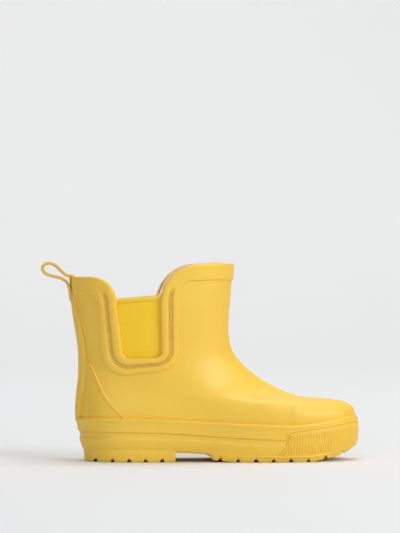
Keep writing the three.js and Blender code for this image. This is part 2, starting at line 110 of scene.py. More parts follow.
def studio():
    """A floor that curves up into a wall, a large key light from the toe's side, a weak fill from
    behind the heel, a soft top light, and a wide lamp that washes the wall alone."""
    bend = np.linspace(0.1, np.pi / 2, 14)
    depth = np.concatenate([np.linspace(-4, 2, 8), 2 + 2.5 * np.sin(bend), [4.5]])
    height = np.concatenate([np.zeros(8), 2.5 - 2.5 * np.cos(bend), [7]])
    vertices = [(x, y, z) for y, z in zip(depth, height) for x in (-6, 6)]
    faces = [(2 * k, 2 * k + 1, 2 * k + 3, 2 * k + 2) for k in range(len(depth) - 1)]
    mesh = bpy.data.meshes.new("studio_floor")
    mesh.from_pydata(vertices, [], faces)
    mesh.shade_smooth()
    floor = bpy.data.objects.new("studio_floor", mesh)
    mesh.materials.append(paper())
    bpy.context.scene.collection.objects.link(floor)
    # name, place, point aimed at, size, power, colour
    lights = [
        ("key", (1.85, -1.55, 1.35), (0, 0, 0.06), 1.6, 42, (1.0, 1.0, 1.0)),
        ("fill", (-1.1, -2.5, 1.7), (0, 0, 0.06), 2.0, 24, (0.97, 0.985, 1.0)),
        ("top", (0.45, 0.3, 2.3), (0, 0, 0.05), 1.6, 14, (1.0, 1.0, 1.0)),
        ("wall", (0, 1.2, 4.2), (0, 4.2, 1.2), 3.5, 100, (1.0, 1.0, 1.0)),
    ]
    for name, place, target, size, power, colour in lights:
        light = bpy.data.lights.new(name, "AREA")
        light.size = size
        light.energy = power
        light.color = colour
        lamp = bpy.data.objects.new(name, light)
        lamp.location = place
        aim = np.subtract(target, place)
        tilt, heading = np.arctan2(np.hypot(*aim[:2]), -aim[2]), np.arctan2(aim[1], aim[0])
        lamp.rotation_euler = (tilt, 0, heading - np.pi / 2)
        bpy.context.scene.collection.objects.link(lamp)
    world = bpy.data.worlds.new("studio")
    world.use_nodes = True
    background = world.node_tree.nodes["Background"]
    background.inputs["Color"].default_value = (0.97, 0.98, 1.0, 1)
    background.inputs["Strength"].default_value = 0.2
    bpy.context.scene.world = world


studio()


# ---------------------------------------------------------------- upper shell
# The vamp and quarters are one skin of natural rubber, laid up over an aluminium last and
# vulcanised. It runs under the raised band at the topline and under the sidewall at the bottom.

# Girth lines of the last, from the ground up, each a slanting loop round the boot: front x,
# front z, back x, back z, half width, share of the shaft's oval, sharpness of the toe.
GIRTHS = np.array([
    [105.5, 3, -79.3, 6, 32.2, 0, 0],
    [108.3, 13, -81.0, 14, 33.4, 0, 0],
    [108.9, 22, -82.6, 22, 34.5, 0, 0],
    [109.1, 30, -84.7, 30, 35.2, 0, 0.02],
    [108.4, 36, -85.2, 34.5, 35.0, 0.02, 0.08],
    [103.2, 41.1, -85.2, 38.5, 34.2, 0.06, 0.24],
    [94, 43.3, -85.1, 42, 33.0, 0.15, 0.45],
    [80, 44.5, -84.9, 46, 31.6, 0.28, 0.62],
    [65, 46.7, -84.7, 50, 30.2, 0.42, 0.72],
    [54, 51, -84.4, 54.5, 29.0, 0.56, 0.68],
    [42, 57.9, -84.1, 60.5, 28.2, 0.7, 0.5],
    [31, 66.8, -84.0, 68, 27.8, 0.84, 0.3],
    [23.2, 76.5, -84.1, 76.5, 28.0, 0.95, 0.12],
    [20.3, 88, -85.3, 86.5, 28.8, 1, 0.02],
    [20.4, 102, -87.4, 99, 30.3, 1, 0],
    [21.8, 119, -89.6, 114, 32.2, 1, 0],
    [23.2, 140, -91.3, 131.5, 34.4, 1, 0],
])
# The foot's outline in plan at 16 even turns from the toe round the outer side to the heel and
# back along the inner side, as shares of the half width.
FOOT_PLAN = np.array([0.11, -0.46, -0.85, -0.985, -0.9, -0.795, -0.76, -0.48,
                      0, 0.49, 0.73, 0.675, 0.75, 0.962, 0.945, 0.63])
SHAFT_SQUARENESS = 2.3
RIDGE_SOFTNESS = 0.15  # how far the instep's ridge is from a sharp edge
HALVINGS = 34
SHARP_FROM = 40  # degrees
SHELL_THICK = 1.6
UNDER_SIDEWALL = 4  # how far the shell runs down under the sidewall's edge


def bends(rows):
    """Second differences of a natural cubic spline through rows: the tridiagonal system
    c[i-1] + 4 c[i] + c[i+1] = 6 (row[i-1] - 2 row[i] + row[i+1]), with no bend at either end."""
    n = len(rows)
    system = np.eye(n)
    right = np.zeros_like(rows)
    inner = np.arange(1, n - 1)
    system[inner, inner - 1] = system[inner, inner + 1] = 1
    system[inner, inner] = 4
    right[1:-1] = 6 * (rows[:-2] - 2 * rows[1:-1] + rows[2:])
    return np.linalg.solve(system, right)


GIRTH_BENDS = bends(GIRTHS)
PLAN_WAVES = np.fft.rfft(FOOT_PLAN) / 16


def on_spline(rows, curve, place):
    """Points of the natural cubic spline through rows, at places counted in rows."""
    i = np.minimum(place.astype(int), len(rows) - 2)
    f = (place - i)[..., None]
    g = 1 - f
    return g * rows[i] + f * rows[i + 1] + ((g ** 3 - g) * curve[i] + (f ** 3 - f) * curve[i + 1]) / 6


def girth(rise):
    """The girth line at a rise from 0 to 1, on the cubic spline through the table's rows."""
    return on_spline(GIRTHS, GIRTH_BENDS, np.clip(rise, 0, 1) * (len(GIRTHS) - 1))


def forward_share(turn, oval):
    """How far ahead of the middle a point of a girth lies, from -1 at the heel to 1 at the toe:
    the cosine of the turn, mixed with the same cosine to the power of the superellipse."""
    cosine = np.cos(2 * np.pi * turn)
    return (1 - oval) * cosine + oval * np.sign(cosine) * np.abs(cosine) ** (2 / SHAFT_SQUARENESS)


def sideways_share(turn, oval, sharp):
    """How far out a point of a girth lies, as a share of the half width: the foot's plan as a
    sum of six waves, mixed with the superellipse, and narrowed towards the front if sharp."""
    angle = 2 * np.pi * turn
    plan = np.full_like(angle, PLAN_WAVES[0].real)
    for k in range(1, 7):
        plan += 2 * (PLAN_WAVES[k].real * np.cos(k * angle) - PLAN_WAVES[k].imag * np.sin(k * angle))
    sine = np.sin(angle)
    ellipse = -np.sign(sine) * np.abs(sine) ** (2 / SHAFT_SQUARENESS)
    ahead = np.maximum(forward_share(turn, oval), 0)
    narrowing = (1 - ahead ** 2 + RIDGE_SOFTNESS) / (1 + RIDGE_SOFTNESS)
    return ((1 - oval) * plan + oval * ellipse) * narrowing ** sharp


def skin(turn, rise):
    """Points of the last's surface. Turn runs once round from the toe by the outer side, and
    rise from the ground to the topline."""
    turn, rise = np.broadcast_arrays(np.asarray(turn, float), np.asarray(rise, float))
    front_x, front_z, back_x, back_z, half, oval, sharp = np.moveaxis(girth(rise), -1, 0)
    ahead = forward_share(turn, oval)
    return np.stack([(front_x + back_x + ahead * (front_x - back_x)) / 2,
                     half * sideways_share(turn, oval, sharp),
                     (front_z + back_z + ahead * (front_z - back_z)) / 2], axis=-1)


def off_skin(turn, rise, offset):
    """Skin points moved outwards by an offset, along the cross product of the two tangents."""
    step = 0.002
    turn, rise, offset = np.broadcast_arrays(turn, rise, offset)
    around = skin(turn + step, rise) - skin(turn - step, rise)
    upward = skin(turn, np.minimum(rise + step, 1)) - skin(turn, np.maximum(rise - step, 0))
    normal = np.cross(upward, around)
    normal /= np.linalg.norm(normal, axis=-1, keepdims=True)
    return skin(turn, rise) + normal * offset[..., None]


def halving(low, high, too_high, shape):
    """Where a rising test changes sign between low and high, by halvings of whole arrays."""
    low, high = np.full(shape, float(low)), np.full(shape, float(high))
    for _ in range(HALVINGS):
        middle = (low + high) / 2
        over = too_high(middle)
        high = np.where(over, middle, high)
        low = np.where(over, low, middle)
    return (low + high) / 2


def from_side(x, z):
    """Turn (on the outer side, 0 to 0.5) and rise of the skin point seen at x, z from the side."""
    x, z = np.broadcast_arrays(np.asarray(x, float), np.asarray(z, float))

    def above(rise):
        front_x, front_z, back_x, back_z = np.moveaxis(girth(rise)[..., :4], -1, 0)
        share = (x - back_x) / (front_x - back_x)
        return back_z + share * (front_z - back_z) > z

    rise = halving(0, 1, above, x.shape)
    front_x, _, back_x, _, _, oval, _ = np.moveaxis(girth(rise), -1, 0)
    ahead = (2 * x - front_x - back_x) / (front_x - back_x)
    return halving(0, 0.5, lambda turn: forward_share(turn, oval) < ahead, x.shape), rise


def rise_at(turn, line):
    """Rise where the skin at each turn meets a line z(x) that runs the length of the boot."""
    turn = np.asarray(turn, float)

    def above(rise):
        point = skin(turn, rise)
        return point[..., 2] > line(point[..., 0])

    return halving(0, 1, above, turn.shape)


def rounded(corners, steps):
    """Side-view points along corners (x, z, radius). Each corner with a radius becomes an arc of
    steps[k] pieces, and the straight before it is cut into steps[k - 1] pieces."""
    corners = np.array(corners, float)
    points = []
    last = corners[0, :2]
    for k in range(1, len(corners)):
        corner, radius = corners[k, :2], corners[k, 2]
        if radius:
            back = corners[k - 1, :2] - corner
            ahead = corners[k + 1, :2] - corner
            back, ahead = back / np.hypot(*back), ahead / np.hypot(*ahead)
            half = np.arccos(back @ ahead) / 2
            start, end = corner + back * radius / np.tan(half), corner + ahead * radius / np.tan(half)
            bisector = (back + ahead) / np.hypot(*(back + ahead))
            centre = corner + bisector * radius / np.sin(half)
        else:
            start = corner
        straight = np.linspace(0, 1, steps[2 * k - 2], endpoint=False)[:, None]
        points.append(last + straight * (start - last))
        if radius:
            first = np.arctan2(*(start - centre)[::-1])
            sweep = (np.arctan2(*(end - centre)[::-1]) - first + np.pi) % (2 * np.pi) - np.pi
            angle = first + sweep * np.linspace(0, 1, steps[2 * k - 1], endpoint=False)
            points.append(centre + radius * np.stack([np.cos(angle), np.sin(angle)], axis=-1))
            last = end
        else:
            last = corner
    points.append(last[None])
    return np.concatenate(points)


def inside_distance(x, z, outline):
    """Distance from each point to a closed outline, positive inside it: the least distance to
    any edge, with the sign from the number of edges that a ray to the right crosses."""
    point = np.stack([x.ravel(), z.ravel()], axis=-1)[:, None]
    start = np.asarray(outline, float)[None]
    edge = np.roll(start, -1, axis=1) - start
    share = np.clip(((point - start) * edge).sum(-1) / (edge ** 2).sum(-1), 0, 1)
    nearest = np.sqrt((((point - start) - share[..., None] * edge) ** 2).sum(-1)).min(axis=1)
    low, high = start[..., 1] > point[..., 1], (start + edge)[..., 1] > point[..., 1]
    rise = np.where(edge[..., 1] == 0, 1, edge[..., 1])
    crossing = start[..., 0] + (point[..., 1] - start[..., 1]) / rise * edge[..., 0]
    odd = ((low != high) & (crossing > point[..., 0])).sum(axis=1) % 2 == 1
    return np.where(odd, nearest, -nearest).reshape(x.shape)


def outer_side_first(points, faces):
    """The same faces, turned round if the solid's volume comes out negative: the sum over the
    triangles of the first corner's dot product with the cross product of the other two."""
    flat = np.asarray(points).reshape(-1, 3)
    volume = 0.0
    for block in faces:
        for k in range(1, block.shape[1] - 1):
            a, b, c = flat[block[:, 0]], flat[block[:, k]], flat[block[:, k + 1]]
            volume += (a * np.cross(b, c)).sum()
    return faces if volume > 0 else [block[:, ::-1] for block in faces]


def mesh_piece(name, points, faces, material):
    """A Blender object from points in millimetres and arrays of faces, turned outwards, and smooth
    except where two faces meet at a sharp angle."""
    mesh = bpy.data.meshes.new(name)
    lists = [face for block in outer_side_first(points, faces) for face in np.asarray(block).tolist()]
    mesh.from_pydata((np.asarray(points).reshape(-1, 3) * MM).tolist(), [], lists)
    mesh.validate()
    mesh.shade_smooth()
    mesh.set_sharp_from_angle(angle=np.radians(SHARP_FROM))
    mesh.materials.append(material)
    made = bpy.data.objects.new(name, mesh)
    bpy.context.scene.collection.objects.link(made)
    return made


def grid_triangles(rows, columns):
    """Two triangles for each cell of a grid of points."""
    index = np.arange(rows * columns).reshape(rows, columns)
    a, b, c, d = index[:-1, :-1], index[:-1, 1:], index[1:, 1:], index[1:, :-1]
    return np.concatenate([np.stack(corners, -1).reshape(-1, 3) for corners in ((a, b, c), (a, c, d))])


def trimmed_sheet(turn, rise, outside, inside, outline):
    """A sheet with thickness over a grid of turns and rises, trimmed by a side-view outline. Where
    a grid edge crosses the outline its nearer end slides onto it, so the cut runs smoothly: each of
    three steps goes down the slope of the distance, by finite differences in turn and in rise."""
    grid = np.stack([turn, rise], axis=-1)
    scale = np.array([320.0, 150.0])  # millimetres to a whole turn and to a whole rise
    steps = np.diag([2e-4, 4e-4])

    def depth(at):
        point = skin(at[..., 0], at[..., 1])
        return inside_distance(point[..., 0], point[..., 2], outline)

    d = depth(grid)
    slide = np.zeros(d.shape, bool)
    for a, b in ((np.s_[:-1], np.s_[1:]), (np.s_[:, :-1], np.s_[:, 1:]), (np.s_[:-1, :-1], np.s_[1:, 1:])):
        crossed = d[a] * d[b] < 0
        nearer = np.abs(d[a]) <= np.abs(d[b])
        slide[a] |= crossed & nearer
        slide[b] |= crossed & ~nearer
    for _ in range(3):
        moving = grid[slide]
        here = depth(moving)
        slope = np.stack([(depth(moving + step) - here) / step.sum() for step in steps], axis=-1) * (1 / scale)
        size = np.maximum((slope ** 2).sum(-1, keepdims=True), 0.05)
        grid[slide] = moving - here[:, None] * slope / size / scale
    d[slide] = 0
    triangles = grid_triangles(*d.shape)
    triangles = triangles[(d >= 0).ravel()[triangles].all(axis=1)]
    outer = off_skin(grid[..., 0], grid[..., 1], outside).reshape(-1, 3)
    inner = off_skin(grid[..., 0], grid[..., 1], inside).reshape(-1, 3)
    return closed_pair(outer, inner, triangles)


def closed_pair(outer, inner, triangles):
    """Joins two copies of a triangle sheet along the sheet's open edges into one closed solid.
    An edge is open if no triangle runs along it the other way; equal points are merged first."""
    used, triangles = np.unique(triangles, return_inverse=True)
    triangles = triangles.reshape(-1, 3)
    outer, inner = outer[used], inner[used]
    _, first, same = np.unique(outer.round(4), axis=0, return_index=True, return_inverse=True)
    triangles = same.ravel()[triangles]
    outer, inner = outer[first], inner[first]
    whole = ((triangles[:, 0] != triangles[:, 1]) & (triangles[:, 1] != triangles[:, 2])
             & (triangles[:, 2] != triangles[:, 0]))
    triangles = triangles[whole]
    count = len(outer)
    edges = np.concatenate([triangles[:, [0, 1]], triangles[:, [1, 2]], triangles[:, [2, 0]]])
    forward, backward = edges @ [count, 1], edges @ [1, count]
    rim = edges[~np.isin(forward, backward)]
    wall = np.stack([rim[:, 1], rim[:, 0], rim[:, 0] + count, rim[:, 1] + count], axis=-1)
    points = np.concatenate([outer, inner])
    return points, outer_side_first(points, [triangles, triangles[:, ::-1] + count, wall])


def rubber(name, base, deep, roughness=0.48, grain=0.6):
    """Vulcanised rubber: two tones mixed by soft clouds, paler specks, a fine pebbly bump and a
    patchy gloss."""
    material, shade, add = new_material(name)
    place = add("TexCoord", "Object", {})
    clouds, specks, pebbles = (add("TexNoise", "Fac", {"Scale": scale, "Detail": detail, "Vector": place})
                               for scale, detail in ((22, 3), (420, 2), (1500, 2)))
    spread = add("MapRange", "Result", {"Value": clouds, "From Min": 0.35, "From Max": 0.75})
    tone = add("Mix", "Result", {"A": (*base, 1), "B": (*deep, 1), "Factor": spread}, data_type="RGBA")
    dusting = add("MapRange", "Result", {"Value": specks, "From Min": 0.58, "From Max": 0.8, "To Max": 0.5})
    pale = (*[min(1, 1.06 * c + 0.01) for c in base], 1)
    dusty = add("Mix", "Result", {"A": tone, "B": pale, "Factor": dusting}, data_type="RGBA")
    gloss = add("MapRange", "Result", {"Value": clouds, "To Min": roughness - 0.05, "To Max": roughness + 0.08})
    bump = add("Bump", "Normal", {"Strength": 0.12 * grain, "Distance": 0.0003, "Height": pebbles})
    shade({"Base Color": dusty, "Roughness": gloss, "Normal": bump, "Specular IOR Level": 0.9,
           "Subsurface Weight": 0.06, "Subsurface Radius": (0.004, 0.002, 0.0005)})
    return material


UPPER_YELLOW = (0.88, 0.565, 0.035)
UPPER_DEEP = (0.84, 0.52, 0.028)
upper_rubber = rubber("upper_rubber", UPPER_YELLOW, UPPER_DEEP)

# Corners of the topline, of the band's lower edge and of the middle between them, front to back:
# x, z and the radius of each rounded corner.
TOPLINE = [(6, 138.6, 0), (-30.6, 138.6, 29), (-28.8, 73.2, 4.5),
           (-55.2, 72.6, 5.5), (-62.8, 129.3, 17), (-80, 129.3, 0)]
BAND_EDGE = [(6, 126.8, 0), (-16.4, 126.2, 9), (-16.2, 64.6, 16),
             (-69.2, 58.6, 17), (-74, 117.1, 8), (-81, 117.1, 0)]
BAND_MIDDLE = [tuple((a + b) / 2 for a, b in zip(p, q)) for p, q in zip(TOPLINE, BAND_EDGE)]
BAND_STEPS = [10, 34, 44, 12, 22, 12, 44, 24, 6, 1]
SIDEWALL_TOP = [(-95, 30.7), (-40, 30.6), (0, 28.7), (35, 27), (62, 25.9), (80, 27.4), (100, 30.4), (116, 35)]


def side_curve(points, steps):
    """Side-view points on a natural cubic spline through points."""
    points = np.asarray(points, float)
    return on_spline(points, bends(points), np.linspace(0, len(points) - 1, steps))


def smooth_line(points):
    """A line z(x) through points: a natural cubic spline in both coordinates, looked up by x."""
    fine = side_curve(points, 400)
    return lambda x: np.interp(x, fine[:, 0], fine[:, 1])


def eased(share):
    """A share cut to 0 and 1 and eased at both ends: three times its square less twice its cube."""
    share = np.clip(share, 0, 1)
    return share * share * (3 - 2 * share)


sidewall_top = smooth_line(SIDEWALL_TOP)
TOE_SEAM_X = 67.0  # where the seam crosses the ridge of the foot
TOE_SEAM_LEAN = 0.2  # how far it goes forwards for each millimetre upwards
# Across the vamp's lip, from its edge: share of 5 mm, millimetres and height.
VAMP_LIP = np.array([
    (0, 0.1, -1.2), (0, 0, -0.9), (0, 0, 0.0), (0, 0.08, 0.26), (0, 0.25, 0.38), (0, 0.5, 0.42),
    (0, 0.9, 0.4),
    (0.35, 0, 0.3), (0.6, 0, 0.16), (0.85, 0, 0.04), (1, 0, -0.02), (1, 0, -0.6), (0.5, 0, -1.2)]).T


def behind_seam(point):
    """How far a point lies behind the toe seam's slanting plane."""
    return TOE_SEAM_X + TOE_SEAM_LEAN * (point[..., 2] - 47) - point[..., 0]


def over_the_foot(back):
    """Turn and rise of the line over the foot some way behind the toe seam, from the outer sidewall
    across the ridge to the inner one. The rises crowd towards the ridge, where it runs level."""
    ridge = halving(0.2, 1, lambda r: behind_seam(skin(0.0 * r, r)) > back, (1,))
    share = np.linspace(0, 1, 70)
    rise = 0.12 + (ridge - 0.12) * (1 - (1 - share) ** 2)
    turn = halving(0, 0.25, lambda t: behind_seam(skin(t, rise)) > back, rise.shape)
    turn[-1] = 0
    return np.concatenate([turn, 1 - turn[-2::-1]]), np.concatenate([rise, rise[-2::-1]])


def carried(path_a, path_b, share, extra, height, ring=True):
    """A closed section carried along a strip of the skin between two paths of (turn, rise). Each
    point of the section lies at a share of the strip's width plus some millimetres from path_a,
    and at a height over the skin. height has one row, or one row for each point of the path."""
    a, b = np.stack(path_a, -1)[:, None], np.stack(path_b, -1)[:, None]
    width = np.linalg.norm(skin(a[..., 0], a[..., 1]) - skin(b[..., 0], b[..., 1]), axis=-1)
    at = a + (np.asarray(share) + np.asarray(extra) / np.maximum(width, 1))[..., None] * (b - a)
    points = off_skin(at[..., 0], np.clip(at[..., 1], 0, 1), np.broadcast_to(height, at.shape[:2]))
    return points, section_faces(*points.shape[:2], ring)


def section_faces(along, around, ring):
    """Quads of a grid whose second way closes on itself, and whose first way closes as well in a
    ring, or else ends in two flat caps."""
    i, j = np.meshgrid(np.arange(along if ring else along - 1), np.arange(around), indexing="ij")
    ahead, beside = (i + 1) % along, (j + 1) % around
    quads = np.stack([i * around + j, ahead * around + j, ahead * around + beside, i * around + beside], -1)
    faces = [quads.reshape(-1, 4)]
    if not ring:
        faces += [np.arange(around)[None], (along * around - 1 - np.arange(around))[None]]
    return faces


def upper_shell():
    """The skin from below the sidewall's edge to the middle of the band, cut off at the toe seam,
    and the rolled lip of the vamp along that seam."""
    turn, rise = np.meshgrid(np.linspace(0, 1, 345), np.linspace(0, 1, 171) ** 0.9, indexing="xy")
    low = rise_at(turn[0], lambda x: sidewall_top(x) - UNDER_SIDEWALL)
    rise = low + rise * (1 - low)
    top = rounded(BAND_MIDDLE, BAND_STEPS)
    end = [(TOE_SEAM_X - 0.9 + TOE_SEAM_LEAN * (z - 47), z) for z in (-20, 133)]
    outline = np.concatenate([end[1:], top, [(-130, top[-1, 1]), (-130, -20)], end[:1]])
    sheet, sheet_faces = trimmed_sheet(turn, rise, 0.0, -SHELL_THICK, outline)
    lip, lip_faces = carried(over_the_foot(0), over_the_foot(5), *VAMP_LIP, ring=False)
    lip_faces = [block + len(sheet) for block in outer_side_first(lip, lip_faces)]
    points = np.concatenate([sheet, lip.reshape(-1, 3)])
    return mesh_piece("upper_shell_rubber", points, sheet_faces + lip_faces, upper_rubber)


shell = upper_shell()
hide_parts("upper_shell")
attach(shell, "boot")


# ---------------------------------------------------------------- toe cap
# The front of the foot is its own skin of rubber. The vamp laps over it in a low rolled edge that
# runs straight over the foot from one sidewall to the other.

TOE_CAP_SET_BACK = 0.6
TOE_CAP_FULLNESS = 1.6  # how much the cap swells over the last 30 mm of the toe


def toe_cap():
    """The skin ahead of the seam, set back under the vamp's lip, and fuller low down at the toe."""
    turn, rise = np.meshgrid(np.linspace(-0.25, 0.25, 161), np.linspace(0, 1, 101), indexing="xy")
    low = rise_at(turn[0], lambda x: sidewall_top(x) - UNDER_SIDEWALL)
    rise = low + rise * (0.62 - low)
    at = skin(turn, rise)
    ahead = np.clip((at[..., 0] - 80) / 24, 0, 1) * np.clip((43 - at[..., 2]) / 8, 0, 1)
    outside = TOE_CAP_FULLNESS * eased(ahead) - TOE_CAP_SET_BACK
    seam = [(TOE_SEAM_X - 2 + TOE_SEAM_LEAN * (z - 47), z) for z in (80, -20)]
    outline = [(130, -20), (130, 80)] + seam
    points, faces = trimmed_sheet(turn, rise, outside, -SHELL_THICK, outline)
    return mesh_piece("toe_cap_rubber", points, faces, upper_rubber)


cap = toe_cap()
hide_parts("toe_cap")
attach(cap, "boot")


# ---------------------------------------------------------------- topline band
# A moulded band, 12 mm wide, runs along the topline and down round each gore. Beside the gores it
# has a rounded inner bead, a sunk channel for the stitching and a flat outer flange.

def half_ring(corners):
    """Turn and rise along a band edge from the toe's middle round the outer side to the heel's."""
    side = rounded(corners, BAND_STEPS)
    turn, rise = from_side(side[:, 0], side[:, 1])
    front = np.linspace(0, turn[0], 42, endpoint=False)
    back = np.linspace(turn[-1], 0.5, 18)[1:]
    front_rise = rise_at(front, lambda x: corners[0][1] + 0 * x)
    back_rise = rise_at(back, lambda x: corners[-1][1] + 0 * x)
    return np.concatenate([front, turn, back]), np.concatenate([front_rise, rise, back_rise])


def whole_ring(corners):
    """A band edge all round: the outer half, then the same mirrored along the inner side."""
    turn, rise = half_ring(corners)
    return np.concatenate([turn, 1 - turn[-2:0:-1]]), np.concatenate([rise, rise[-2:0:-1]])


# Across the band, from its inner edge: share of the width, millimetres, height beside a gore, and
# height along the front and back of the topline.
BAND_SECTION = np.array([
    (0, 1.1, -1.8, -1.8), (0, 0.5, -1.75, -1.75), (0, 0.12, -1.5, -1.5), (0, 0, -1.0, -1.0),
    (0, 0, 0.1, 0.1), (0, 0.15, 0.7, 0.62), (0, 0.5, 1.15, 0.95), (0, 1.1, 1.5, 1.08),
    (1.9 / 12, 0, 1.7, 1.1), (2.8 / 12, 0, 1.72, 1.1), (3.6 / 12, 0, 1.6, 1.1), (4.3 / 12, 0, 1.3, 1.1),
    (4.75 / 12, 0, 0.85, 1.1), (4.95 / 12, 0, 0.25, 1.1), (5.2 / 12, 0, 0.04, 1.1), (0.5, 0, 0.0, 1.1),
    (6.8 / 12, 0, 0.04, 1.1), (7.05 / 12, 0, 0.25, 1.1), (7.2 / 12, 0, 0.85, 1.1), (7.5 / 12, 0, 1.2, 1.1),
    (8 / 12, 0, 1.36, 1.1), (8.7 / 12, 0, 1.38, 1.1), (9.5 / 12, 0, 1.3, 1.08), (1, -1.5, 1.18, 1.05),
    (1, -0.9, 1.02, 0.98), (1, -0.45, 0.74, 0.72), (1, -0.15, 0.38, 0.36), (1, 0, -0.1, -0.1),
    (1, -0.3, -0.5, -0.5), (0.5, 0, -0.6, -0.6), (0, 1.6, -0.7, -0.7),
])
band_middle = whole_ring(BAND_MIDDLE)
CHANNEL_TOP = (120.5, 118.5)  # where the channel runs out, at its front and its back end
CHANNEL_MIDDLE_X = -45


def channel_share():
    """1 where the stitch channel is at full depth and 0 past its ends, eased over 3 mm of height."""
    point = skin(*band_middle)
    top = np.where(point[:, 0] > CHANNEL_MIDDLE_X, *CHANNEL_TOP)
    return eased((top - point[:, 2]) / 3 + 0.5)


def topline_band():
    """The band's section carried round the topline, and flatter where there is no channel."""
    share, extra, relief, plain = BAND_SECTION.T
    height = plain + channel_share()[:, None] * (relief - plain)
    points, faces = carried(whole_ring(TOPLINE), whole_ring(BAND_EDGE), share, extra, height)
    return mesh_piece("topline_band_rubber", points, faces, upper_rubber)


band = topline_band()
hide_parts("topline_band")
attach(band, "boot")


# ---------------------------------------------------------------- gore stitching
# A lockstitch in twisted thread lies in each channel and holds the elastic to the shell. Each
# stitch is a short bar whose ends dip into the rubber.

STITCH_PITCH = 2.4
THREAD_RADIUS = 0.46
THREAD_SIDES = 8
STITCH_SLANT = 0.8  # sideways run of one stitch, from end to end


def fabric(name, base, deep, scale, roughness=0.85, strength=0.5, stretch=(1, 1, 1), sheen=0.3):
    """A textile: crossed waves for its threads, clouds of a deeper tone and a faint sheen."""
    material, shade, add = new_material(name)
    place = add("Mapping", "Vector", {"Scale": stretch, "Vector": add("TexCoord", "Object", {})})
    wave = {"Scale": scale, "Distortion": 0.6, "Detail": 1, "Vector": place}
    warp, weft = (add("TexWave", "Fac", wave, bands_direction=direction) for direction in ("X", "Z"))
    weave = add("Math", "Value", {0: warp, 1: weft}, operation="MULTIPLY")
    cloud = add("TexNoise", "Fac", {"Scale": 90, "Detail": 4, "Vector": place})
    blend = add("Math", "Value", {0: weave, 1: -0.6, 2: cloud}, operation="MULTIPLY_ADD")
    tone = add("Mix", "Result", {"A": (*base, 1), "B": (*deep, 1), "Factor": blend}, data_type="RGBA")
    bump = add("Bump", "Normal", {"Strength": strength, "Distance": 0.0004, "Height": weave})
    shade({"Base Color": tone, "Roughness": roughness, "Sheen Weight": sheen, "Normal": bump})
    return material


thread = fabric("stitch_thread", (0.9, 0.6, 0.22), (0.7, 0.42, 0.13), 900)


def stitches(name, inner_side):
    """Bars along the channel's middle. Each is a grid of angle round the thread by length along
    it: a half-sine lifts its middle and its radius shrinks to nothing at both ends."""
    turn, rise = half_ring(BAND_MIDDLE)
    turn = 1 - turn if inner_side else turn
    path = skin(turn, rise)
    length = np.concatenate([[0], np.cumsum(np.linalg.norm(np.diff(path, axis=0), axis=1))])
    top = np.where(path[:, 0] > CHANNEL_MIDDLE_X, *CHANNEL_TOP)
    within = length[path[:, 2] < top - 1]
    start = np.arange(within[0], within[-1] - STITCH_PITCH, STITCH_PITCH)
    share = np.linspace(0, 1, 9)
    along = start[:, None] + 0.1 + share * (STITCH_PITCH - 0.2)
    turn, rise = np.interp(along, length, turn), np.interp(along, length, rise)
    radius = THREAD_RADIUS * np.sqrt(np.maximum(1 - (2 * share - 1) ** 4, 0.01))
    height = 0.05 + 0.5 * np.sin(np.pi * share)
    middle = off_skin(turn, rise, np.broadcast_to(height, turn.shape))
    ahead = np.gradient(middle, axis=1)
    ahead /= np.linalg.norm(ahead, axis=-1, keepdims=True)
    out = off_skin(turn, rise, np.broadcast_to(height + 1, turn.shape)) - middle
    beside = np.cross(ahead, out)
    middle = middle + beside * (STITCH_SLANT * (share - 0.5))[:, None]
    angle = np.linspace(0, 2 * np.pi, THREAD_SIDES, endpoint=False)[:, None]
    points = (middle[:, :, None] + radius[:, None, None]
              * (np.cos(angle) * out[:, :, None] + np.sin(angle) * beside[:, :, None]))
    one = section_faces(len(share), THREAD_SIDES, False)
    shift = (np.arange(len(start)) * len(share) * THREAD_SIDES)[:, None, None]
    faces = [(block[None] + shift).reshape(-1, block.shape[1]) for block in one]
    return mesh_piece(name, points, faces, thread)


for side_name, is_inner in (("lateral", False), ("medial", True)):
    row = stitches(f"gore_stitches_{side_name}", is_inner)
    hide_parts(f"gore_stitching_{side_name}")
    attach(row, "boot")


# ---------------------------------------------------------------- elastic gores
# Each gore is a panel of ribbed elastic webbing behind the window in the band. A folded tape
# binds its top edge, and its other edges are sewn under the shell.

# x and z, from the lower back corner.
GORE_CORNERS = [(-59.3, 69.5), (-24.7, 69.5), (-25.7, 115.6), (-65.5, 112.4)]
GORE_RIBS = 44
elastic = fabric("elastic_webbing", (0.95, 0.62, 0.012), (0.90, 0.55, 0.008), 700, 0.6, 0.3, (1, 1, 0.02), 0.08)
binding_tape = fabric("binding_tape", (0.95, 0.66, 0.04), (0.88, 0.57, 0.025), 1100, 0.75, 0.4)


def gore_grid(columns, rows):
    """Side-view points of the panel, by the bilinear mix of its four corners."""
    u, v = np.meshgrid(columns, rows, indexing="xy")
    a, b, c, d = np.array(GORE_CORNERS)
    mix = ((1 - u) * (1 - v))[..., None] * a + (u * (1 - v))[..., None] * b + (u * v)[..., None] * c
    return u, v, mix + ((1 - u) * v)[..., None] * d


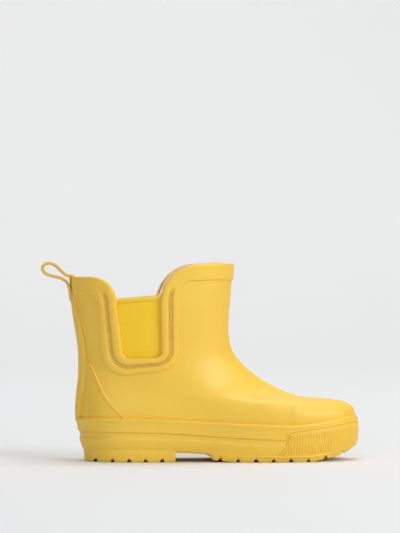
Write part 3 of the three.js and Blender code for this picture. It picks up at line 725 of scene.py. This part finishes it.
def gore(name, inner_side):
    """Rows up the panel by columns across it. The height over the skin is a ripple for the ribs
    plus a low swell, the product of two half-sines, where the elastic pulls outwards."""
    u, v, side = gore_grid(np.linspace(0, 1, 6 * GORE_RIBS + 1), np.linspace(0, 1, 61))
    turn, rise = from_side(side[..., 0], side[..., 1])
    turn = 1 - turn if inner_side else turn
    ribs = 0.07 * np.abs(np.sin(np.pi * GORE_RIBS * u)) + 0.02 * np.sin(40 * np.pi * v)
    swell = 0.5 * np.sin(np.pi * u) * np.sin(np.pi * np.clip(v * 1.1, 0, 1))
    height = -1.75 + ribs + swell
    outer, inner = off_skin(turn, rise, height), off_skin(turn, rise, height - 0.8)
    points, faces = closed_pair(outer.reshape(-1, 3), inner.reshape(-1, 3), grid_triangles(*u.shape))
    return mesh_piece(name, points, faces, elastic)


def gore_binding(name, inner_side):
    """A folded tape carried along the panel's top edge, wrapped over it."""
    u = np.linspace(0, 1, 60)
    _, _, top = gore_grid(u, [1.012])
    _, _, low = gore_grid(u, [0.955])
    (turn_a, rise_a), (turn_b, rise_b) = (from_side(line[0, :, 0], line[0, :, 1]) for line in (top, low))
    if inner_side:
        turn_a, turn_b = 1 - turn_a, 1 - turn_b
    share = [0, 0, 0.12, 0.4, 0.85, 1, 1, 0.9, 0.9, 1, 1, 0.85, 0.4, 0.12]
    height = [-2.0, -1.6, -1.15, -0.95, -0.95, -1.1, -1.35, -1.5, -2.6, -2.7, -2.85, -2.95, -2.95, -2.7]
    points, faces = carried((turn_a, rise_a), (turn_b, rise_b), share, 0, height, ring=False)
    return mesh_piece(name, points, faces, binding_tape)


for side_name, is_inner in (("lateral", False), ("medial", True)):
    for piece, node in ((gore(f"gore_elastic_{side_name}", is_inner), "elastic_gore"),
                        (gore_binding(f"gore_tape_{side_name}", is_inner), "gore_binding")):
        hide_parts(f"{node}_{side_name}")
        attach(piece, "boot")


# ---------------------------------------------------------------- jersey lining
# A knitted cotton sock lines the whole boot. It is bonded to the shell, passes behind the gores and
# stops just below the topline, where its cut edge shows.

jersey = fabric("jersey", (0.97, 0.70, 0.46), (0.91, 0.62, 0.39), 650, 0.95, 0.35, (1, 1, 1), 0.3)
LINING_TOP = [(6, 138.5, 0), (-30.55, 138.5, 29), (-28.6, 115.2, 2),
              (-63.5, 112, 2), (-62.9, 129.1, 17), (-80, 129.1, 0)]


LINING_AT_TOPLINE = -1.85
LINING_SET_IN = 1.2
LINING_THICK = 0.8
GORE_MIDDLE_X = -44


def lining_offset(turn, rise):
    """1.85 mm inside the skin at the topline, easing to 3.05 mm behind the gores and in the foot,
    where the stiffener and the toe puff lie between the lining and the shell."""
    at = skin(turn, rise)
    beside = np.clip((24 - np.abs(at[..., 0] - GORE_MIDDLE_X)) / 4 + 0.5, 0, 1)
    behind_gore = beside * np.clip((120 - at[..., 2]) / 4, 0, 1) * np.clip((rise - 0.55) / 0.05, 0, 1)
    ease = np.maximum(behind_gore, np.clip((104 - at[..., 2]) / 24, 0, 1))
    return LINING_AT_TOPLINE - LINING_SET_IN * eased(ease)


def jersey_lining():
    """The sock's sheet, cut to the line of its visible edge along the topline."""
    turn, rise = np.meshgrid(np.linspace(0, 1, 301), np.linspace(0.04, 1, 161), indexing="xy")
    top = rounded(LINING_TOP, [10, 30, 20, 4, 20, 4, 14, 20, 6, 1])
    outline = np.concatenate([[(130, 138.5)], top, [(-130, 129.1), (-130, -20), (130, -20)]])
    offset = lining_offset(turn, rise)
    points, faces = trimmed_sheet(turn, rise, offset, offset - LINING_THICK, outline)
    return mesh_piece("jersey_sock", points, faces, jersey)


lining = jersey_lining()
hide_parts("jersey_lining")
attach(lining, "boot")


# ---------------------------------------------------------------- heel counter and back stay
# A patch of rubber wraps the heel and a strip covers the back seam over it. Both have rolled edges,
# and the counter's upper edge sweeps down to the sidewall as a thin raised line.

COUNTER_EDGE = [(-84.6, 73.2), (-79.5, 70.4), (-75.6, 65.2), (-71, 54.2),
                (-66.7, 45.6), (-61.8, 38.9), (-51, 29.5)]
STAY_EDGE = [(-88.8, 119), (-87.2, 110), (-85.3, 101), (-83.3, 92), (-81.6, 82),
             (-80.7, 73), (-80.9, 64), (-81.8, 54), (-83.3, 43), (-83.9, 29)]


def wrap_round_heel(name, edge, section, inset, swell):
    """A section carried down an edge curve: it spans from the outer side's edge round the heel to
    the inner side's. section gives distance from the edge in mm and height, for the near part, and
    inset the share of the width where the middle starts. swell(z) scales the height."""
    side = side_curve(edge, 90)
    turn, rise = from_side(side[:, 0], side[:, 1])
    near, height = np.array(section).T
    middle = np.linspace(inset, 1 - inset, 31)
    share = np.concatenate([np.zeros(len(near)), middle, np.ones(len(near)), 1 - middle])
    extra = np.concatenate([near, 0 * middle, -near[::-1], 0 * middle])
    outside = np.concatenate([height, height[-1] + 0 * middle, height[::-1]])
    whole = np.concatenate([outside * swell(side[:, 1:]), np.full((len(side), len(middle)), -0.5)], axis=1)
    points, faces = carried((turn, rise), (1 - turn, rise), share, extra, whole, ring=False)
    return mesh_piece(name, points, faces, upper_rubber)


def stay_swell(z):
    """The stay is thickest at the foot and thins out towards its upper end, under the band."""
    return np.interp(z, [30, 42, 60, 104, 119], [1.6, 1.4, 1.0, 1.0, 0.62])


counter = wrap_round_heel(
    "heel_counter_rubber", COUNTER_EDGE,
    [(0.3, -0.4), (0, 0), (0.05, 0.55), (0.3, 0.98), (0.62, 1.12), (0.95, 0.98), (1.4, 0.55), (2.4, 0.4)],
    0.06, np.ones_like)
stay = wrap_round_heel(
    "back_stay_rubber", STAY_EDGE,
    [(0.3, -0.4), (0, 0.3), (0.15, 0.6), (0.6, 1.0), (1.3, 1.4), (2.2, 1.75), (3.2, 1.95), (4.2, 2.05)],
    0.3, stay_swell)
for piece, node in ((counter, "heel_counter"), (stay, "back_stay")):
    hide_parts(node)
    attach(piece, "boot")


# ---------------------------------------------------------------- sidewall
# Two strips of rubber wrap the join of upper and sole. The upper one has a rounded lip and a
# shallow waist, and the lower one is set back under it behind a narrow recess.

sole_rubber = rubber("sole_rubber", (0.88, 0.565, 0.04), (0.84, 0.52, 0.03), 0.5, 1.0)
SIDEWALL_STEP = [(-95, 21.8), (-25, 20.2), (20, 17.4), (54, 15.9), (57.6, 17.2),
                 (60.6, 20.3), (76, 22.6), (92, 24.8), (116, 29.5)]
SIDEWALL_FOOT = [(-95, 8.7), (-30, 8.7), (-6, 7.6), (16, 5.4), (50, 3.7),
                 (76, 3.9), (88, 5.1), (99, 7.6), (116, 13)]
sidewall_step, sidewall_foot = smooth_line(SIDEWALL_STEP), smooth_line(SIDEWALL_FOOT)
RING = np.arange(600) / 600


def sidewall_strip(name, top_line, low_line, section, heel_swell):
    """A section carried round the boot between two sole lines: share of the width, millimetres,
    height, and the height it eases to round the toe. Round the heel it is thicker by a share."""
    top, low = rise_at(RING, top_line), rise_at(RING, low_line)
    share, extra, height, at_toe = np.array(section).T
    x = skin(RING, top)[:, :1]
    ahead = eased((x - 78) / 30)
    height = height * (1 + heel_swell * np.clip((-66 - x) / 18, 0, 1) ** 2)
    points, faces = carried((RING, top), (RING, low), share, extra, height + ahead * (at_toe - height))
    return mesh_piece(name, points, faces, sole_rubber)


upper_wall = sidewall_strip("upper_sidewall_rubber", sidewall_top, sidewall_step, [
    (0, 0.9, -0.5, -0.6), (0, 0.15, -0.3, -0.4), (0, 0, 0.5, 0.6), (0, 0, 1.4, 0.9), (0, 0.12, 2.0, 1.1),
    (0, 0.4, 2.5, 1.3), (0, 0.85, 2.85, 1.5), (0, 1.4, 3.0, 1.75), (0, 2.0, 2.98, 2.0), (0, 2.6, 2.8, 2.2),
    (0, 3.2, 2.66, 2.45), (0.55, 0, 2.64, 2.9), (0.8, 0, 2.8, 3.2), (1, -0.9, 3.0, 3.4), (1, -0.4, 2.95, 3.35),
    (1, -0.12, 2.7, 3.1), (1, 0, 2.35, 2.8), (1, 0, 0.6, 0.6), (1, -0.4, -0.5, -0.5)], 0.22)
lower_wall = sidewall_strip("lower_sidewall_rubber", sidewall_step, sidewall_foot, [
    (0, -0.5, -0.5, -0.5), (0, -0.6, 1.2, 1.2), (0, -0.3, 2.0, 1.8), (0, 0.3, 2.15, 1.8), (0.14, 0, 2.2, 1.8),
    (0.27, 0, 2.25, 1.8), (0.3, 0, 2.4, 1.8), (0.33, 0, 2.75, 1.8), (0.38, 0, 2.95, 1.8), (0.5, 0, 2.95, 1.8),
    (0.75, 0, 2.65, 1.8), (1, -1.0, 2.3, 1.8), (1, -0.4, 2.2, 1.7), (1, -0.1, 1.95, 1.5), (1, 0, 1.5, 1.2),
    (1, 0, 0.5, 0.5), (1, -0.5, -0.5, -0.5)], 0.3)
for piece, node in ((upper_wall, "upper_sidewall"), (lower_wall, "lower_sidewall")):
    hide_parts(node)
    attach(piece, "boot")


# ---------------------------------------------------------------- toe bumper
# A strip of thicker rubber with close upright ribs is rolled on round the toe, under the lip of
# the upper sidewall. Each end is cut on a slant.

RIB_PITCH = 1.95
BUMPER_TURN = 0.185
RIB_HEIGHT = 0.55
BUMPER_END_X = 59.9  # where each end starts, at the top
BUMPER_SLANT = 8.0  # how much further back it is at the bottom
GUIDE_RISE = 0.1
BUMPER_COLUMNS = 1201
# Down the bumper: share of its width, height, share of the ribs.
BUMPER_SECTION = ([(0.3, 0, 0), (0.0, 0.8, 0), (0.0, 2.2, 0), (0.02, 2.5, 0), (0.06, 2.55, 0),
                   (0.09, 2.55, 0.1), (0.13, 2.55, 0.9)]
                  + [(share, 2.55, 1) for share in np.linspace(0.16, 0.82, 20)]
                  + [(0.85, 2.5, 0.9), (0.88, 2.5, 0.1), (0.92, 2.45, 0), (0.97, 2.35, 0), (1.0, 2.0, 0),
                     (1.0, 0.8, 0), (0.7, 0, 0)])


def toe_bumper():
    """Columns round the toe by rows down the strip. A column goes straight out from the foot as it
    rises, so that the ribs stand upright: each turn is moved until its point lies square to the
    guide line's tangent. Height is a ripple along the guide line, eased to nothing at the top and
    bottom rows and dropped under the sidewall behind the slanted ends."""
    fine = np.linspace(-BUMPER_TURN, BUMPER_TURN, BUMPER_COLUMNS)
    line = skin(fine, GUIDE_RISE)[:, :2]
    arc = np.concatenate([[0], np.cumsum(np.linalg.norm(np.diff(line, axis=0), axis=1))])
    even = np.linspace(0, arc[-1], BUMPER_COLUMNS)
    guide = np.interp(even, arc, fine)
    at = skin(guide, GUIDE_RISE)[:, :2]
    tangent = np.gradient(at, axis=0)
    tangent /= np.linalg.norm(tangent, axis=1, keepdims=True)
    down, body, rib = np.array(BUMPER_SECTION).T
    wide = np.linspace(-0.25, 0.25, 401)
    top, low = rise_at(wide % 1, sidewall_step), rise_at(wide % 1, sidewall_foot)
    turns = np.repeat(guide[:, None], len(down), axis=1)
    for _ in range(5):
        high = np.interp(turns, wide, top)
        rise = high + down * (np.interp(turns, wide, low) - high)
        off_line = ((skin(turns, rise)[..., :2] - at[:, None]) * tangent[:, None]).sum(-1)
        turns = turns - off_line / (arc[-1] / (2 * BUMPER_TURN))
    ripple = np.clip(0.5 + 0.8 * np.cos(2 * np.pi * (even - arc[-1] / 2) / RIB_PITCH), 0, 1)[:, None]
    x = skin(turns, rise)[..., 0]
    ahead = np.clip((x - BUMPER_END_X + BUMPER_SLANT * eased(down)) / 0.5, 0, 1)
    front = np.clip((x - 88) / 22, 0, 1) ** 2
    ribs = (rib * ripple * RIB_HEIGHT + 0.15) * ahead
    sunk = 1.4 * (1 - ahead) * (body > 1)
    points = off_skin(turns, rise, body * (1 + 0.28 * front) + ribs - sunk)
    return mesh_piece("toe_bumper_rubber", points, section_faces(*points.shape[:2], False), sole_rubber)


bumper = toe_bumper()
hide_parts("toe_bumper")
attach(bumper, "boot")


# ---------------------------------------------------------------- treads
# The heel block and the forefoot outsole are moulded rubber with a notched edge all round and
# cross grooves underneath. The arch between them stands clear of the ground.

NOTCH_WIDTH = 2.7
NOTCH_HEIGHT = 2.0
NOTCH_LENGTH = 11.0
NOTCH_SLOPE = 0.35
GROOVE_SIZE = 1.1  # half the width, and the depth, of a cross groove
HEEL_NOTCHES = np.array([-74.2, -62.6, -51.1, -39.6, -28.2])
FOREFOOT_NOTCHES = np.array([11.8, 24.3, 36.6, 49.0, 61.3, 73.8, 86.4, 99.2])
TREAD_FOOT = [(-22, 6.6), (4.6, 5.2), (6.4, 1.9), (16, 0.7), (28, 0),
              (70, 0), (80, 0.7), (92, 2.9), (104, 6.6), (116, 12)]
TREAD_RISE = 0.04
HEEL_BREAST = -19
ARCH_START = -18.9


def foot_edges(offset):
    """The foot's outline near the ground, as two tables y(x) for the outer and the inner side."""
    outer = off_skin(np.linspace(0, 0.5, 200), TREAD_RISE, offset)
    inner = off_skin(np.linspace(1, 0.5, 200), TREAD_RISE, offset)
    return [(side[::-1, 0], side[::-1, 1]) for side in (outer, inner)]


def sliced_solid(name, slices, layers, material):
    """A solid cut into slices across the foot. layers gives, from the upper face down, the outline
    offset in mm and the height z(x, y) of each row of its wall; the first and the last row also
    close the solid above and below, the last one with its own relief."""
    span = slices[-1] - slices[0]
    across = np.linspace(0, 1, 61)
    outer_wall, inner_wall, closing = [], [], []
    for offset, height in layers:
        lateral, medial = foot_edges(offset)
        low, high = max(slices[0], lateral[0][0] + 0.01), min(slices[-1], lateral[0][-1] - 0.01)
        x = low + (slices - slices[0]) / span * (high - low)
        y0, y1 = np.interp(x, *lateral), np.interp(x, *medial)
        outer_wall.append(np.stack([x, y0, height(x, y0, y1, y0)], -1))
        inner_wall.append(np.stack([x, y1, height(x, y0, y1, y1)], -1))
        closing.append((x, y0, y1, height))

    def rows(shares, x, y0, y1, height):
        x, y0, y1 = x[:, None], y0[:, None], y1[:, None]
        y = y0 + shares * (y1 - y0)
        return np.stack([np.broadcast_to(x, y.shape), y, height(x, y0, y1, y)], -1)

    upper = rows(across[1:-1:6], *closing[0])
    under = rows(across[1:-1], *closing[-1])[:, ::-1]
    points = np.concatenate([upper, np.stack(inner_wall, 1), under, np.stack(outer_wall[::-1], 1)], axis=1)
    return mesh_piece(name, points, section_faces(*points.shape[:2], False), material)


def level(line, step=0.0):
    """The height of a wall's row that follows a line z(x), raised by a step."""
    return lambda x, y0, y1, y: line(x) + step + 0 * y


def raised(height, step):
    """The height of a wall's row that repeats another row's relief, raised by a step."""
    return lambda x, y0, y1, y: height(x, y0, y1, y) + step


def tread_height(base, notches):
    """Height of a tread's underside: a base line, raised at each notch by a trapezoid across the
    edge, and by shallow wavy cross grooves between the notched edges."""

    def height(x, y0, y1, y):
        away = np.abs(x[..., None] - notches).min(-1)
        notch = np.clip((NOTCH_WIDTH / 2 - away) / NOTCH_SLOPE, 0, 1)
        from_edge = np.minimum(y - y0, y1 - y)
        edge = np.clip((NOTCH_LENGTH - from_edge) / 0.8, 0, 1)
        wave = x + 2.2 * np.sin(y * 0.42)
        groove = np.clip((GROOVE_SIZE - np.abs(wave[..., None] - notches).min(-1)) / 0.4, 0, 1)
        centre = np.clip((from_edge - NOTCH_LENGTH - 2) / 0.8, 0, 1)
        return base(x) + NOTCH_HEIGHT * notch * edge + GROOVE_SIZE * groove * centre

    return height


def with_notch_corners(x, notches):
    """Slices at each notch's four corners as well as at the given places."""
    half = NOTCH_WIDTH / 2
    inner = half - NOTCH_SLOPE
    corners = notches[:, None] + np.array([-half - 0.02, -half, -inner, inner, half, half + 0.02])
    return np.unique(np.concatenate([x, corners.ravel()]).round(3))


def tread(name, slices, foot, notches):
    """The wall starts inside the sidewall and draws in towards the ground. Its last rows repeat
    the underside's relief, which keeps the notches' corners crisp."""
    under = tread_height(foot, notches)
    above = level(lambda x: np.minimum(foot(x) + NOTCH_HEIGHT + 0.7, sidewall_foot(x) - 0.3))
    return sliced_solid(name, with_notch_corners(slices, notches), [
        (1.6, level(sidewall_foot, 1.5)), (1.95, level(sidewall_foot, -0.1)), (1.3, above),
        (0.9, raised(under, 0.45)), (0.55, raised(under, 0.1)), (0.2, under)], sole_rubber)


heel_end, toe_end = foot_edges(1.95)[0][0][[0, -1]]
heel_slices = HEEL_BREAST - (HEEL_BREAST - heel_end - 0.02) * np.sin(np.linspace(0, np.pi / 2, 60))
toe_slices = ARCH_START + (toe_end - 0.02 - ARCH_START) * np.sin(np.linspace(0, np.pi / 2, 110))
heel_block = tread("heel_tread_rubber", np.sort(heel_slices), lambda x: 0 * x, HEEL_NOTCHES)
arch_and_toe = smooth_line(TREAD_FOOT)
forefoot = tread("forefoot_tread_rubber", toe_slices,
                 lambda x: np.maximum(arch_and_toe(x), 0), FOREFOOT_NOTCHES)
for piece, node in ((heel_block, "heel_tread"), (forefoot, "forefoot_tread")):
    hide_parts(node)
    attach(piece, "boot")


# ---------------------------------------------------------------- pull loop
# One strip of woven webbing, 15 mm wide: it is sewn to the back stay, stands up behind the heel as
# a loop for the finger, and goes back over the topline to be sewn inside.

WEBBING_WIDTH = 15.0
WEBBING_THICK = 2.2
HEEL_RADIUS = 26
LOOP_PATH = [(-90.9, 110.5), (-91.7, 115), (-92.4, 120), (-93.7, 124.6), (-97, 127.7),
             (-101.5, 129.2), (-106, 130.3), (-109.7, 132.3), (-111, 135.4), (-109.4, 138),
             (-106.1, 138.9), (-102.2, 137.4), (-98.4, 134), (-95, 131), (-92.8, 130.1),
             (-90.8, 130), (-89, 128.8), (-87.9, 126), (-87, 121), (-86.3, 114.5)]
webbing = fabric("woven_webbing", (0.96, 0.63, 0.13), (0.90, 0.54, 0.09), 1300, 0.7, 0.6, (1, 0.7, 1), 0.1)


def pull_loop():
    """A flat section with rounded edges carried along the strip's path in the plane of the heel.
    Its two sewn ends also bend across, with a sag of y squared over twice the heel's radius."""
    steps = 260
    path = side_curve(LOOP_PATH, steps)
    ahead = np.gradient(path, axis=0)
    ahead /= np.linalg.norm(ahead, axis=1, keepdims=True)
    away = np.stack([-ahead[:, 1], ahead[:, 0]], -1)
    angle = np.linspace(0, 2 * np.pi, 28, endpoint=False)
    across = np.sign(np.cos(angle)) * np.abs(np.cos(angle)) ** 0.25 * WEBBING_WIDTH / 2
    thick = np.sign(np.sin(angle)) * np.abs(np.sin(angle)) ** 0.6 * WEBBING_THICK / 2
    share = np.linspace(0, 1, steps)[:, None]
    rib = 1 + 0.07 * np.cos(2 * np.pi * np.arange(steps) / 4)[:, None]
    sewn = np.maximum(np.clip((0.2 - share) / 0.1, 0, 1), np.clip((share - 0.78) / 0.1, 0, 1))
    ends = np.clip(share / 0.03, 0.25, 1)
    flat = path[:, None] + away[:, None] * (thick * rib * ends * (1 - 0.4 * sewn))[..., None]
    sag = sewn * across ** 2 / (2 * HEEL_RADIUS)
    points = np.stack([flat[..., 0] + sag, np.broadcast_to(across, flat.shape[:2]), flat[..., 1]], -1)
    return mesh_piece("pull_loop_webbing", points, section_faces(*points.shape[:2], False), webbing)


loop = pull_loop()
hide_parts("pull_loop", "pull_loop_outer_end", "pull_loop_inner_end")
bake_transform(loop)


# ---------------------------------------------------------------- footbed and inner boards
# A loose die-cut insole with a jersey top lies on the insole board. Under and beside it are the
# board, the sole's filler, the heel stiffener and the toe puff, which the lining hides.

FOOT_REST = [(-95, 18), (-35, 17.6), (0, 15), (40, 13), (80, 13.4), (116, 17)]
foot_rest = smooth_line(FOOT_REST)


def footbed():
    """Slices across the foot: a flat base and a top that dishes under the heel and the arch."""

    def top(x, y0, y1, y):
        middle = (y0 + y1) / 2
        share = (y - middle) / np.maximum((y1 - y0) / 2, 1)
        return foot_rest(x) + 2.9 + 0.9 * share ** 2

    ends = foot_edges(-6)[0][0][[0, -1]]
    middle, half = ends.mean(), (ends[1] - ends[0]) / 2 - 0.05
    slices = middle + half * np.sin(np.linspace(-np.pi / 2, np.pi / 2, 90))
    return sliced_solid("footbed_jersey", slices, [
        (-6.6, top), (-6.1, raised(top, -0.35)), (-5.9, level(foot_rest, 1.3)), (-6.0, level(foot_rest, 0.3))],
        jersey)


insole = footbed()
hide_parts("footbed")
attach(insole, "footbed")

board = fabric("pressed_board", (0.42, 0.31, 0.2), (0.34, 0.24, 0.15), 300, 0.9, 0.2)
for node in ("heel_stiffener", "toe_puff", "sole_filler", "insole_board"):
    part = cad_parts[node]
    part.data.materials.clear()
    part.data.materials.append(board)
